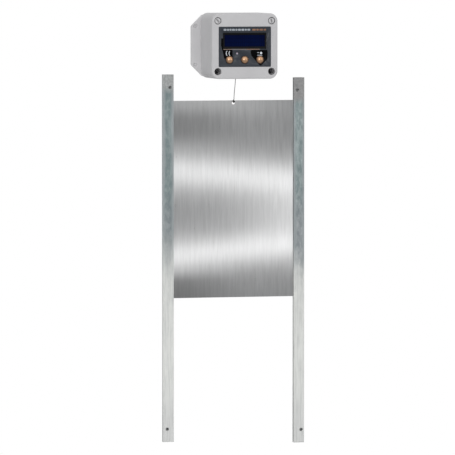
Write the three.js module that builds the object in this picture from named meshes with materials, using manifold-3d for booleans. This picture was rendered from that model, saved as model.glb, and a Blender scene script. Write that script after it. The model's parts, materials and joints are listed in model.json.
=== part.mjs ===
// An automatic coop door. A battery control box winds a cord on a spool, and the cord lifts an
// aluminium door that slides in two aluminium rails.
// Millimetres: X to the right, Y into the wall (the front faces -Y), Z up. The origin is on the
// wall's surface, midway between the rails and level with the right rail's lower end.

import * as THREE from "three";
import { mergeVertices } from "three/addons/utils/BufferGeometryUtils.js";
import Module from "manifold-3d";

const wasm = await Module();
wasm.setup();

// ---- Driving dimensions ----

const gap = 0.3; // between neighbouring pieces that don't move against each other
const past = 1; // how far a cutting tool reaches out of the body that it cuts
const sunk = 1; // how far inside a wall a pillar or post that is joined to it starts

const railLength = 600;
const railWidth = 18;
const railDepth = 7;
const railWall = 1.5;
const railSpan = 238; // over the outer faces of both rails
const railStagger = 6; // the left rail is fixed this much higher than the right one

const doorHeight = 322;
const doorThickness = 1.5;
const doorInRail = 12.5; // how far each edge of the door reaches into its rail
const doorBottom = 241; // height of the raised door's lower edge

const boxWidth = 110;
const boxHeight = 106;
const boxDepth = 80;
const boxBottom = 600;
const boxCorner = 13;
const boxWall = 3.2;
const lidDepth = 20;

const flangeReach = 16; // past each side of the box
const flangeHeight = 100;
const flangeThickness = 4;

const cordRadius = 0.6;
const cordDepth = 18; // the cord leaves the box this far in front of the wall

const buttonRadius = 6;
const buttonPitch = 25.4;

// ---- Places worked out from them ----

const railOuter = railSpan / 2;
const railInner = railOuter - railWidth;
const doorHalf = railInner + doorInRail;
const doorTop = doorBottom + doorHeight;
const doorMiddle = -railDepth / 2;
const boxMiddle = boxBottom + boxHeight / 2;
const boxFront = -boxDepth;
const lidBack = boxFront + lidDepth;
const lidInside = boxFront + boxWall;

// ---- Materials ----

function material(color, roughness, metalness) {
  return new THREE.MeshStandardMaterial({ color, roughness, metalness });
}

const looks = {
  railAluminium: material(0xc4c9c9, 0.45, 1),
  doorAluminium: material(0xb9babb, 0.3, 1),
  darkSteel: material(0x4a4a4c, 0.5, 1),
  greyPlastic: material(0xc0bfc1, 0.45, 0),
  label: material(0x3e424b, 0.4, 0),
  blackMetal: material(0x101014, 0.35, 1),
  displayGlass: material(0x00082d, 0.1, 0),
  copper: material(0xc98b5f, 0.3, 1),
  sensor: material(0xb9a9b4, 0.2, 0),
  circuitBoard: material(0x1d5a38, 0.5, 0),
  blackPlastic: material(0x18181a, 0.5, 0),
  cellWrap: material(0x2f6f5a, 0.4, 0),
  steel: material(0xa8aaad, 0.35, 1),
  whitePlastic: material(0xe4e2dc, 0.5, 0),
  rubber: material(0x202022, 0.8, 0),
  cord: material(0xb4b2ae, 0.8, 0),
  darkCord: material(0x2c2a29, 0.85, 0),
};

// ---- Making solids ----

// A closed three.js geometry as a manifold-3d solid.
function solid(geometry) {
  geometry.deleteAttribute("normal");
  geometry.deleteAttribute("uv");
  const merged = mergeVertices(geometry, 1e-4);
  return new wasm.Manifold(
    new wasm.Mesh({
      numProp: 3,
      vertProperties: merged.attributes.position.array,
      triVerts: new Uint32Array(merged.index.array),
    }),
  );
}

function join(...solids) {
  return solids.reduce((whole, next) => whole.add(next));
}

function cut(body, ...tools) {
  return tools.reduce((rest, tool) => rest.subtract(tool), body);
}

// A box between two corners.
function block([x0, y0, z0], [x1, y1, z1]) {
  const geometry = new THREE.BoxGeometry(x1 - x0, y1 - y0, z1 - z0);
  geometry.translate((x0 + x1) / 2, (y0 + y1) / 2, (z0 + z1) / 2);
  return solid(geometry);
}

// A box centred on x and z, from y = back forward to y = front.
function blockAt(x, z, width, height, back, front) {
  return block([x - width / 2, front, z - height / 2], [x + width / 2, back, z + height / 2]);
}

function polygon(points) {
  return new THREE.Shape(points.map(([x, y]) => new THREE.Vector2(x, y)));
}

// A rectangle with round corners, drawn in X and Z.
function roundRectangle(x, z, width, height, radius) {
  const [left, right, low, high] = [x - width / 2, x + width / 2, z - height / 2, z + height / 2];
  const quarter = Math.PI / 2;
  const shape = new THREE.Shape();
  shape.absarc(right - radius, low + radius, radius, -quarter, 0);
  shape.absarc(right - radius, high - radius, radius, 0, quarter);
  shape.absarc(left + radius, high - radius, radius, quarter, 2 * quarter);
  shape.absarc(left + radius, low + radius, radius, 2 * quarter, 3 * quarter);
  return shape;
}

// An outline drawn in X and Z, extruded from y = back forward to y = front. Its end edges are
// rounded by edge.
function slab(shape, back, front, edge = 0, curveSegments = 6) {
  const geometry = new THREE.ExtrudeGeometry(shape, {
    depth: back - front - 2 * edge,
    curveSegments,
    bevelEnabled: edge > 0,
    bevelThickness: edge,
    bevelSize: edge,
    bevelOffset: -edge,
    bevelSegments: 3,
  });
  geometry.rotateX(Math.PI / 2);
  geometry.translate(0, back - edge, 0);
  return solid(geometry);
}

// A cylinder along Y.
function rod(x, z, radius, back, front, sides = 20) {
  const geometry = new THREE.CylinderGeometry(radius, radius, back - front, sides);
  geometry.translate(x, (back + front) / 2, z);
  return solid(geometry);
}

// A profile of [radius, y] points, turned about the line along Y through x and z. The points go
// towards +Y on the outside.
function turned(x, z, profile, sides = 24) {
  const points = profile.map(([radius, y]) => new THREE.Vector2(radius, y));
  const geometry = new THREE.LatheGeometry(points, sides);
  geometry.translate(x, 0, z);
  return solid(geometry);
}

const root = new THREE.Group();

function add(name, body, look) {
  const mesh = body.getMesh();
  const geometry = new THREE.BufferGeometry();
  geometry.setAttribute("position", new THREE.BufferAttribute(mesh.vertProperties, 3));
  geometry.setIndex(new THREE.BufferAttribute(mesh.triVerts, 1));
  geometry.computeVertexNormals();
  const piece = new THREE.Mesh(geometry, look);
  piece.name = name;
  root.add(piece);
}

// ---- Rails ----

// Each rail has one screw near each end, drilled by hand, so no two are in line. inset is from
// the rail's outer edge. Their shanks stand in the channel and stop the door.
const screwFromEnd = 21;

// The height of a rail's lower end. side is -1 for the left rail and 1 for the right one.
function railFoot(side) {
  return side < 0 ? railStagger : 0;
}

const railScrews = [
  { name: "left_top", side: -1, inset: 12, height: railLength - screwFromEnd },
  { name: "left_bottom", side: -1, inset: 7, height: screwFromEnd },
  { name: "right_top", side: 1, inset: 11.5, height: railLength - screwFromEnd },
  { name: "right_bottom", side: 1, inset: 5, height: screwFromEnd },
].map((screw) => ({
  ...screw,
  x: screw.side * (railOuter - screw.inset),
  height: railFoot(screw.side) + screw.height,
}));
const screwShank = 1.5;
const screwHead = 2.5;

// The profile of a countersunk screw, grown by clearance for the hole it goes in.
function countersunk(clearance, back, front) {
  const lip = -railDepth + railWall;
  return [
    [0, front],
    [screwHead + clearance, front],
    [screwShank + clearance, lip],
    [screwShank + clearance, back],
    [0, back],
  ];
}

function rail(side) {
  const web = railOuter - railWall;
  const lip = -railDepth + railWall;
  const section = [
    [railOuter, 0],
    [railInner, 0],
    [railInner, -railWall],
    [web, -railWall],
    [web, lip],
    [railInner, lip],
    [railInner, -railDepth],
    [railOuter, -railDepth],
  ].map(([x, y]) => [side * x, y]);
  const length = new THREE.ExtrudeGeometry(polygon(section), {
    depth: railLength,
    bevelEnabled: false,
  });
  length.translate(0, 0, railFoot(side));
  const holes = railScrews
    .filter((screw) => screw.side === side)
    .map((screw) => turned(screw.x, screw.height, countersunk(gap, past, -railDepth), 20));
  return cut(solid(length), ...holes);
}

add("rail_left", rail(-1), looks.railAluminium);
add("rail_right", rail(1), looks.railAluminium);

const driveSlotWidth = 0.7;
const driveSlotDepth = 0.9;

for (const screw of railScrews) {
  const driveSlot = blockAt(
    screw.x,
    screw.height,
    2 * screwHead,
    driveSlotWidth,
    -railDepth + driveSlotDepth,
    -railDepth,
  );
  const body = turned(screw.x, screw.height, countersunk(0, -gap, -railDepth + gap / 2), 20);
  add(`rail_screw_${screw.name}`, cut(body, driveSlot), looks.darkSteel);
}

// ---- Door ----

const doorCorner = 1.5;
const doorHoleFromEdge = 4.2;
const doorHole = { radius: 2.6, height: doorTop - doorHoleFromEdge };

function doorPanel() {
  const back = doorMiddle + doorThickness / 2;
  const front = doorMiddle - doorThickness / 2;
  const sheet = slab(
    roundRectangle(0, doorBottom + doorHeight / 2, 2 * doorHalf, doorHeight, doorCorner),
    back,
    front,
  );
  return cut(sheet, rod(0, doorHole.height, doorHole.radius, back + past, front - past));
}

add("door_panel", doorPanel(), looks.doorAluminium);

// ---- Spool, with the cord wound on it ----

const spoolDrop = 20; // below the box's middle
const spool = {
  x: 12, // the cord's centre leaves the winding at x = 0
  z: boxMiddle - spoolDrop,
  hub: 7,
  rim: 16,
  rimThickness: 1.5,
  groove: 10,
  bore: 3.3,
};
const shaftRadius = 3;
const spoolBack = -cordDepth + spool.groove / 2 + spool.rimThickness;
const spoolFront = -cordDepth - spool.groove / 2 - spool.rimThickness;

function spoolBody() {
  const [grooveBack, grooveFront] = [spoolBack - spool.rimThickness, spoolFront + spool.rimThickness];
  return turned(
    spool.x,
    spool.z,
    [
      [spool.bore, spoolFront],
      [spool.rim, spoolFront],
      [spool.rim, grooveFront],
      [spool.hub, grooveFront],
      [spool.hub, grooveBack],
      [spool.rim, grooveBack],
      [spool.rim, spoolBack],
      [spool.bore, spoolBack],
      [spool.bore, spoolFront],
    ],
    32,
  );
}

function windingBody() {
  const outside = spool.x - cordRadius - gap;
  const inside = spool.hub + gap;
  const half = spool.groove / 2 - gap;
  const [back, front] = [-cordDepth + half, -cordDepth - half];
  return turned(spool.x, spool.z, [
    [inside, front],
    [outside, front],
    [outside, back],
    [inside, back],
    [inside, front],
  ]);
}

add("spool", spoolBody(), looks.whitePlastic);
add("cord_winding", windingBody(), looks.cord);

// ---- Lift cord and the knot that ties it through the door ----

const knotAhead = 3.9; // of the door's middle
const knotDrop = 1.8; // below the door's upper edge
const knot = { y: doorMiddle - knotAhead, z: doorTop - knotDrop, radius: 2 };

// The cord hangs straight from the spool to the bushing, then leans back to the knot in a gentle
// curve. steps points are spread evenly over its height.
function cordRoute(steps) {
  const bushing = boxBottom + boxWall;
  const end = knot.z + knot.radius + gap;
  return Array.from({ length: steps + 1 }, (_, i) => {
    const z = spool.z + ((end - spool.z) * i) / steps;
    const lean = THREE.MathUtils.smoothstep(bushing - z, 0, bushing - end);
    return new THREE.Vector3(0, -cordDepth + lean * (knot.y + cordDepth), z);
  });
}

function liftCord() {
  const bends = 16;
  const rings = 26;
  const path = new THREE.CatmullRomCurve3(cordRoute(bends));
  const section = new THREE.Shape();
  section.absarc(0, 0, cordRadius, 0, 2 * Math.PI);
  return solid(
    new THREE.ExtrudeGeometry(section, { steps: rings, curveSegments: 4, extrudePath: path }),
  );
}

// A ball in front of the door, and a loop from it through the hole and over the door's edge.
function cordKnot() {
  const loopRadius = 2.6;
  const loopSides = 18;
  const [strandSides, ballSides, ballRings] = [6, 12, 8];
  const edgeMiddle = (doorTop + doorHole.height + doorHole.radius) / 2;
  const loop = new THREE.TorusGeometry(loopRadius, cordRadius, strandSides, loopSides);
  loop.rotateY(Math.PI / 2);
  loop.translate(0, doorMiddle, edgeMiddle);
  const ball = new THREE.SphereGeometry(knot.radius, ballSides, ballRings);
  ball.translate(0, knot.y, knot.z);
  return join(solid(ball), solid(loop));
}

add("lift_cord", liftCord(), looks.cord);
add("cord_knot", cordKnot(), looks.darkCord);

// ---- Control box: base, lid and what closes them ----

const corners = [
  { name: "top_left", x: -1, z: 1 },
  { name: "top_right", x: 1, z: 1 },
  { name: "bottom_left", x: -1, z: -1 },
  { name: "bottom_right", x: 1, z: -1 },
];
const lidScrewFromEdge = { x: 10.3, z: 12 };
const lidScrewAt = corners.map((corner) => ({
  ...corner,
  x: corner.x * (boxWidth / 2 - lidScrewFromEdge.x),
  z: boxMiddle + corner.z * (boxHeight / 2 - lidScrewFromEdge.z),
}));
const screwBore = 5.8;
const screwBoreDepth = 16;
const screwSeat = boxFront + screwBoreDepth; // the floor of the bores in the lid
const lidScrewShank = 2;
const lidScrewTip = -41;
const pilot = lidScrewShank + gap;
const pillar = 7.5;
const basePillar = pillar - gap;

// The box's outline, drawn in by inset all round.
function boxOutline(inset) {
  return roundRectangle(
    0,
    boxMiddle,
    boxWidth - 2 * inset,
    boxHeight - 2 * inset,
    boxCorner - inset,
  );
}

// A frame that follows the box's outline between two insets.
function boxRing(outerInset, innerInset, back, front) {
  return cut(
    slab(boxOutline(outerInset), back, front),
    slab(boxOutline(innerInset), back + past, front - past),
  );
}

const flangeHalf = boxWidth / 2 + flangeReach;
const flangeCut = 18.5; // each corner is cut off at 45 degrees
const flangeHoleFromEdge = 7;
const flangeHole = { x: flangeHalf - flangeHoleFromEdge, z: 31.5, radius: 2.5 };

function flange() {
  const high = flangeHeight / 2;
  const outline = [
    [flangeHalf, high - flangeCut],
    [flangeHalf - flangeCut, high],
    [flangeCut - flangeHalf, high],
    [-flangeHalf, high - flangeCut],
    [-flangeHalf, flangeCut - high],
    [flangeCut - flangeHalf, -high],
    [flangeHalf - flangeCut, -high],
    [flangeHalf, flangeCut - high],
  ].map(([x, z]) => [x, boxMiddle + z]);
  const roundedEdge = 1;
  // The plate is made too thick and its back trimmed, so that only its front edge is rounded.
  const plate = slab(polygon(outline), roundedEdge, -flangeThickness, roundedEdge);
  const trim = blockAt(0, boxMiddle, 4 * flangeHalf, 2 * flangeHeight, 2 * roundedEdge, 0);
  const holes = corners.map((corner) =>
    rod(
      corner.x * flangeHole.x,
      boxMiddle + corner.z * flangeHole.z,
      flangeHole.radius,
      flangeThickness,
      -2 * flangeThickness,
    ),
  );
  return cut(plate, trim, ...holes);
}

const bracketScrewAt = [-17, 45.5];
const bracketScrewShank = 1.1;
const post = { radius: 4, front: -9.5 };
const bearing = { radius: 6, front: post.front + 0.5 };
const blindEnd = -2; // the screws' and the shaft's blind holes stop here, inside the back wall
const outletRadius = 5.2;
const gasketSeat = { depth: 1.6, fromOutside: 1.5 };

function housingBase() {
  const rim = lidBack + gap / 2;
  const shell = cut(
    slab(boxOutline(0), 0, rim),
    slab(boxOutline(boxWall), -boxWall, rim - past),
  );
  const pillars = lidScrewAt.map(({ x, z }) => rod(x, z, basePillar, -sunk, rim));
  const posts = bracketScrewAt.map((x) => rod(x, spool.z, post.radius, -sunk, post.front));
  const boss = rod(spool.x, spool.z, bearing.radius, -sunk, bearing.front);
  const whole = join(shell, flange(), ...pillars, ...posts, boss);
  const openInside = boxWall + 0.1; // the gasket's seat is open towards the inside of the box
  const seat = boxRing(gasketSeat.fromOutside, openInside, rim + gasketSeat.depth, rim - past);
  const belowTip = 3; // the pilot holes are this much deeper than the screws
  const pilots = lidScrewAt.map(({ x, z }) =>
    rod(x, z, pilot, lidScrewTip + belowTip, rim - past, 16),
  );
  const postPilots = bracketScrewAt.map((x) =>
    rod(x, spool.z, bracketScrewShank + gap, blindEnd, post.front - past, 12),
  );
  const shaftHole = rod(spool.x, spool.z, spool.bore, blindEnd, post.front - past);
  const outlet = new THREE.CylinderGeometry(outletRadius, outletRadius, 4 * boxWall, 24);
  outlet.rotateX(Math.PI / 2);
  outlet.translate(0, -cordDepth, boxBottom);
  return cut(whole, seat, ...pilots, ...postPilots, shaftHole, solid(outlet));
}

// A flat ring that fills the seat, save for the gap all round, and stands proud of it.
function lidGasket() {
  const fromInside = 0.2;
  const back = lidBack + gap / 2 + gasketSeat.depth - gap;
  return boxRing(gasketSeat.fromOutside + gap, boxWall - fromInside, back, lidBack + gap);
}

add("housing_base", housingBase(), looks.greyPlastic);
add("lid_gasket", lidGasket(), looks.rubber);

// What shows on the lid's face, placed from the box's middle.
const labelDrop = 1;
const labelCorner = 1.2;
const labelSize = { width: 86.8, height: 64.8, z: boxMiddle - labelDrop, thickness: 0.6 };
const displayRise = 8.7;
const display = { width: 72.6, height: 26, z: boxMiddle + displayRise };
const buttonDrop = 22;
const buttonHeight = boxMiddle - buttonDrop;
const buttonsAt = [
  { name: "left", x: -buttonPitch },
  { name: "middle", x: 0 },
  { name: "right", x: buttonPitch },
];
const sensorDrop = 11.8;
const sensorAt = { x: -13, z: boxMiddle - sensorDrop, radius: 1.6 };

// The control board, on four posts behind the lid's face.
const boardPost = { x: 37, z: 29.5, radius: 2.5 };
const boardThickness = 1.6;
const boardFromFace = 12;
const boardFront = boxFront + boardFromFace;
const boardBack = boardFront + boardThickness;
const boardScrew = { shank: 1, head: 2.4, headHeight: 1.5, grip: 5 };

// The openings for the display, the buttons and the sensor, from y = back to y = front.
function faceOpenings(back, front) {
  return [
    blockAt(0, display.z, display.width, display.height, back, front),
    ...buttonsAt.map(({ x }) => rod(x, buttonHeight, buttonRadius + gap, back, front)),
    rod(sensorAt.x, sensorAt.z, sensorAt.radius + gap, back, front, 16),
  ];
}

// The label's outline, drawn in by inset all round.
function labelOutline(inset) {
  return roundRectangle(
    0,
    labelSize.z,
    labelSize.width - 2 * inset,
    labelSize.height - 2 * inset,
    labelCorner - inset,
  );
}

function lid() {
  const rim = lidBack - gap / 2;
  const edge = 2.6;
  const pilotDepth = 6;
  // The outside is made too deep and trimmed, so that only its front edge is rounded.
  const outside = cut(
    slab(boxOutline(0), rim + 2 * edge, boxFront, edge),
    blockAt(0, boxMiddle, 2 * boxWidth, 2 * boxHeight, rim + 3 * edge, rim),
  );
  const shell = cut(outside, slab(boxOutline(boxWall), rim + past, lidInside));
  const pillars = lidScrewAt.map(({ x, z }) => rod(x, z, pillar, rim, boxFront + sunk));
  const posts = corners.map(({ x, z }) =>
    rod(
      x * boardPost.x,
      boxMiddle + z * boardPost.z,
      boardPost.radius,
      boardFront - gap,
      boxFront + sunk,
      16,
    ),
  );
  const labelSeat = slab(
    labelOutline(-gap),
    boxFront + labelSize.thickness + gap,
    boxFront - past,
  );
  const bores = lidScrewAt.map(({ x, z }) => rod(x, z, screwBore, screwSeat, boxFront - past, 32));
  const shankHoles = lidScrewAt.map(({ x, z }) =>
    rod(x, z, pilot, rim + past, screwSeat - past, 16),
  );
  const postPilots = corners.map(({ x, z }) =>
    rod(
      x * boardPost.x,
      boxMiddle + z * boardPost.z,
      boardScrew.shank + gap,
      boardFront,
      boardFront - pilotDepth,
      12,
    ),
  );
  return cut(
    join(shell, ...pillars, ...posts),
    labelSeat,
    ...faceOpenings(lidInside + past, boxFront - past),
    ...bores,
    ...shankHoles,
    ...postPilots,
  );
}

function label() {
  const back = boxFront + labelSize.thickness;
  const plate = slab(labelOutline(0), back, boxFront);
  return cut(plate, ...faceOpenings(back + past, boxFront - past));
}

add("lid", lid(), looks.greyPlastic);
add("label_panel", label(), looks.label);

// The upper screws have tall plastic heads, almost flush with the lid; the lower ones have low
// metal heads at the bottom of their bores.
const plasticHeadRecess = 0.7;
const metalHeadRise = 4; // above the floor of its bore
const screwKinds = {
  top: {
    head: 5.3,
    front: boxFront + plasticHeadRecess,
    slotWidth: 1.6,
    slotDepth: 1.8,
    look: looks.greyPlastic,
  },
  bottom: {
    head: 4.2,
    front: screwSeat - metalHeadRise,
    slotWidth: 1,
    slotDepth: 1.4,
    look: looks.darkSteel,
  },
};
const slotLean = { left: 50, right: 75 }; // degrees

for (const { name, x, z } of lidScrewAt) {
  const [level, side] = name.split("_");
  const { head, front, slotWidth, slotDepth, look } = screwKinds[level];
  const back = screwSeat - gap;
  const body = join(
    rod(x, z, lidScrewShank, lidScrewTip, back - sunk, 16),
    rod(x, z, head, back, front, 32),
  );
  const slot = blockAt(0, 0, 2 * head, slotWidth, front + slotDepth, front - past);
  const turnedSlot = slot.rotate([0, slotLean[side], 0]).translate([x, 0, z]);
  add(`lid_screw_${name}`, cut(body, turnedSlot), look);
}

// ---- Display ----

// Depths on the display are from the lid's face.
const bezel = { front: 0.4, back: 7, sheet: 1, side: 2.5, level: 3.2 };
const glass = { front: 1.7, back: 3.2, inset: 1.6 };
const displayBoard = { width: 80, height: 36 };
const displayBoardFront = boxFront + bezel.back + gap;
const displayBoardBack = displayBoardFront + boardThickness;
const header = { width: 40.6, height: 2.5, rise: 15.5 };

// A folded sheet frame. Its window is bezel.side in from each side and bezel.level from each level.
function displayBezel() {
  const front = boxFront + bezel.front;
  const back = boxFront + bezel.back;
  const { sheet, side, level } = bezel;
  const width = display.width - 2 * gap;
  const height = display.height - 2 * gap;
  return cut(
    blockAt(0, display.z, width, height, back, front),
    blockAt(0, display.z, width - 2 * sheet, height - 2 * sheet, back + past, front + sheet),
    blockAt(0, display.z, width - 2 * side, height - 2 * level, back + past, front - past),
  );
}

function displayGlass() {
  const width = display.width - 2 * glass.inset;
  const height = display.height - 2 * glass.inset;
  return blockAt(0, display.z, width, height, boxFront + glass.back, boxFront + glass.front);
}

function displayCircuit() {
  const { width, height } = displayBoard;
  return blockAt(0, display.z, width, height, displayBoardBack, displayBoardFront);
}

// The row of pins between the display's board and the control board.
function pinHeader() {
  const [back, front] = [boardFront - gap, displayBoardBack + gap];
  return blockAt(0, display.z + header.rise, header.width, header.height, back, front);
}

add("display_bezel", displayBezel(), looks.blackMetal);
add("display_glass", displayGlass(), looks.displayGlass);
add("display_board", displayCircuit(), looks.circuitBoard);
add("pin_header", pinHeader(), looks.blackPlastic);

// ---- Control board ----

const board = { width: 82, height: 65, hole: 1.6 };
const onBoard = boardBack + gap; // what stands on the board's back starts here
const keySwitch = { width: 6.2, height: 3, stem: 1.7, stemRise: 1.1 };
const chip = { x: -12, rise: 6, width: 14, thickness: 1.8 };
const buzzer = { x: 24, drop: 14, radius: 6, height: 8 };

function controlBoard() {
  const holes = corners.map(({ x, z }) =>
    rod(
      x * boardPost.x,
      boxMiddle + z * boardPost.z,
      board.hole,
      boardBack + past,
      boardFront - past,
      12,
    ),
  );
  const plate = blockAt(0, boxMiddle, board.width, board.height, boardBack, boardFront);
  return cut(plate, ...holes);
}

// A pan-headed screw from the board's back into a post behind the lid's face.
function boardScrewBody({ x, z }) {
  const [screwX, screwZ] = [x * boardPost.x, boxMiddle + z * boardPost.z];
  const { shank, head, headHeight, grip } = boardScrew;
  return join(
    rod(screwX, screwZ, head, onBoard + headHeight, onBoard, 16),
    rod(screwX, screwZ, shank, boardBack + sunk, boardFront - grip, 12),
  );
}

function keySwitchBody(x) {
  const back = boardFront - gap;
  const front = back - keySwitch.height;
  return join(
    blockAt(x, buttonHeight, keySwitch.width, keySwitch.width, back, front),
    rod(x, buttonHeight, keySwitch.stem, front + gap, front - keySwitch.stemRise, 16),
  );
}

add("control_board", controlBoard(), looks.circuitBoard);
for (const corner of corners) {
  add(`board_screw_${corner.name}`, boardScrewBody(corner), looks.steel);
}
for (const { name, x } of buttonsAt) {
  add(`key_switch_${name}`, keySwitchBody(x), looks.blackPlastic);
}
add(
  "timer_chip",
  blockAt(chip.x, boxMiddle + chip.rise, chip.width, chip.width, onBoard + chip.thickness, onBoard),
  looks.blackPlastic,
);
add(
  "buzzer",
  rod(buzzer.x, boxMiddle - buzzer.drop, buzzer.radius, onBoard + buzzer.height, onBoard, 24),
  looks.blackPlastic,
);

// ---- Buttons and light sensor ----

// A domed cap with a retaining flange behind the lid's face and a stub that meets its switch.
function button(x) {
  const domeRise = 3.2;
  const rimRise = 0.2;
  const edgeY = boxFront - rimRise;
  const domeRadius = (buttonRadius ** 2 + domeRise ** 2) / (2 * domeRise);
  const domeCentre = edgeY - domeRise + domeRadius;
  const steps = 5;
  const fullAngle = Math.asin(buttonRadius / domeRadius);
  const dome = Array.from({ length: steps + 1 }, (_, i) => {
    const angle = (fullAngle * i) / steps;
    return [domeRadius * Math.sin(angle), domeCentre - domeRadius * Math.cos(angle)];
  });
  const thickness = 1.3;
  const flangeRadius = buttonRadius + 1.2;
  const flangeFront = lidInside + gap;
  const flangeBack = flangeFront + thickness;
  const stub = { radius: 2.5, end: flangeBack + 1.3 };
  return turned(x, buttonHeight, [
    ...dome,
    [buttonRadius, flangeFront],
    [flangeRadius, flangeFront],
    [flangeRadius, flangeBack],
    [stub.radius, flangeBack],
    [stub.radius, stub.end],
    [0, stub.end],
  ]);
}

for (const { name, x } of buttonsAt) {
  add(`button_${name}`, button(x), looks.copper);
}

// A lens with a low crown, a collar behind the lid's face and a stem back to the control board.
function lightSensor() {
  const { x, z, radius } = sensorAt;
  const crown = boxFront - 0.5;
  const shoulder = boxFront - 0.1;
  const rim = boxFront + 0.6;
  const collar = { radius: radius + 0.6, front: lidInside + gap, back: lidInside + 1.3 };
  const end = boardFront - gap;
  return turned(
    x,
    z,
    [
      [0, crown],
      [0.7 * radius, shoulder],
      [radius, rim],
      [radius, collar.front],
      [collar.radius, collar.front],
      [collar.radius, collar.back],
      [radius, collar.back],
      [radius, end],
      [0, end],
    ],
    20,
  );
}

add("light_sensor", lightSensor(), looks.sensor);

// ---- Batteries ----

const cell = { radius: 7.25, length: 50.5, pitch: 16, tip: 2.7, tipLength: 1.2 };
const cellClearance = 0.4;
const trayWall = 1.5;
const trayFromWall = 1.3;
const trayRise = 27; // above the box's middle
const trayWidth = 62;
const trayBack = -boxWall - trayFromWall;
const trayMiddle = boxMiddle + trayRise;
const cellFromTray = trayWall + cellClearance + cell.radius;
const trayHeight = cell.pitch + 2 * cellFromTray;
const cellRows = [0, 1].map((row) => trayBack - cellFromTray - row * cell.pitch);
const trayFront = cellRows[1] - cell.radius;

function batteryHolder() {
  return cut(
    blockAt(0, trayMiddle, trayWidth, trayHeight, trayBack, trayFront),
    blockAt(
      0,
      trayMiddle,
      trayWidth - 2 * trayWall,
      trayHeight - 2 * trayWall,
      trayBack - trayWall,
      trayFront - past,
    ),
  );
}

// A round cell lying along X, with its raised end towards direction.
function batteryCell(y, z, direction) {
  const half = cell.length / 2;
  const shoulder = half - cell.tipLength;
  const profile = [
    [0, -half],
    [cell.radius, -half],
    [cell.radius, shoulder],
    [cell.tip, shoulder],
    [cell.tip, half],
    [0, half],
  ];
  const points = profile.map(([radius, along]) => new THREE.Vector2(radius, along));
  const geometry = new THREE.LatheGeometry(points, 24);
  geometry.rotateZ((-direction * Math.PI) / 2);
  geometry.translate(0, y, z);
  return solid(geometry);
}

add("battery_holder", batteryHolder(), looks.blackPlastic);
cellRows.forEach((y, row) => {
  [1, -1].forEach((level, column) => {
    const z = trayMiddle + (level * cell.pitch) / 2;
    const direction = (row + column) % 2 ? -1 : 1;
    add(`battery_${2 * row + column + 1}`, batteryCell(y, z, direction), looks.cellWrap);
  });
});

// ---- Gear motor ----

const bracketShift = 2; // from the spool's centre
const bracket = {
  thickness: 1.2,
  half: 26,
  middle: spool.x + bracketShift,
  height: 26,
  foot: 10,
  footHeight: 14,
  screwHole: 1.8,
  shaftHole: 5,
};
const spoolClearance = 0.5;
const bracketBack = spoolFront - spoolClearance;
const bracketFront = bracketBack - bracket.thickness;
const footBack = post.front - gap;
const shaftInGearbox = 6;
const gearbox = { half: 20, height: 34, back: bracketFront - gap, depth: 24, corner: 3 };
const gearboxFront = gearbox.back - gearbox.depth;
const gearboxMiddleY = gearbox.back - gearbox.depth / 2;

// A bent sheet: a plate between spool and gearbox, two legs and two feet on the base's posts.
function motorBracket() {
  const { thickness, half, middle, height, foot, footHeight } = bracket;
  const [low, high] = [spool.z - height / 2, spool.z + height / 2];
  const [footLow, footHigh] = [spool.z - footHeight / 2, spool.z + footHeight / 2];
  const plate = block([middle - half, bracketFront, low], [middle + half, bracketBack, high]);
  const sides = [-1, 1].map((side) => {
    const outer = middle + side * half;
    const leg = block(
      [Math.min(outer, outer - side * thickness), bracketFront, low],
      [Math.max(outer, outer - side * thickness), footBack, high],
    );
    const end = outer + side * foot;
    const pad = block(
      [Math.min(outer - side * thickness, end), footBack - thickness, footLow],
      [Math.max(outer - side * thickness, end), footBack, footHigh],
    );
    return join(leg, pad);
  });
  const holes = bracketScrewAt.map((x) =>
    rod(x, spool.z, bracket.screwHole, footBack + past, footBack - thickness - past, 12),
  );
  const { x, z } = spool;
  const shaftHole = rod(x, z, bracket.shaftHole, bracketBack + past, bracketFront - past);
  return cut(join(plate, ...sides), ...holes, shaftHole);
}

function gearboxCase() {
  const outline = roundRectangle(
    bracket.middle,
    spool.z,
    2 * gearbox.half,
    gearbox.height,
    gearbox.corner,
  );
  const boreEnd = gearbox.back - shaftInGearbox - 1;
  const bore = rod(spool.x, spool.z, spool.bore, gearbox.back + past, boreEnd);
  return cut(slab(outline, gearbox.back, gearboxFront, 0, 3), bore);
}

// The motor lies along X, beside the gearbox that it drives through a worm.
function motorCan() {
  const can = { radius: 12, length: 31, chamfer: 1 };
  const boss = { radius: 5, length: 2 };
  const right = bracket.middle - gearbox.half - gap;
  const left = right - can.length;
  const points = [
    [0, left - boss.length],
    [boss.radius, left - boss.length],
    [boss.radius, left],
    [can.radius - can.chamfer, left],
    [can.radius, left + can.chamfer],
    [can.radius, right],
    [0, right],
  ].map(([radius, along]) => new THREE.Vector2(radius, along));
  const geometry = new THREE.LatheGeometry(points, 24);
  geometry.rotateZ(-Math.PI / 2);
  geometry.translate(0, gearboxMiddleY, spool.z);
  return solid(geometry);
}

add("motor_bracket", motorBracket(), looks.steel);
add("gearbox_case", gearboxCase(), looks.steel);
add("motor_can", motorCan(), looks.steel);
add(
  "spool_shaft",
  rod(spool.x, spool.z, shaftRadius, -boxWall, gearbox.back - shaftInGearbox),
  looks.steel,
);

const bracketScrewHead = { radius: 2.8, height: 2 };

bracketScrewAt.forEach((x, i) => {
  const under = footBack - bracket.thickness - gap;
  const { radius, height } = bracketScrewHead;
  const head = rod(x, spool.z, radius, under, under - height, 16);
  const shank = rod(x, spool.z, bracketScrewShank, -boxWall, under - sunk, 12);
  add(`bracket_screw_${["left", "right"][i]}`, join(head, shank), looks.steel);
});

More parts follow.
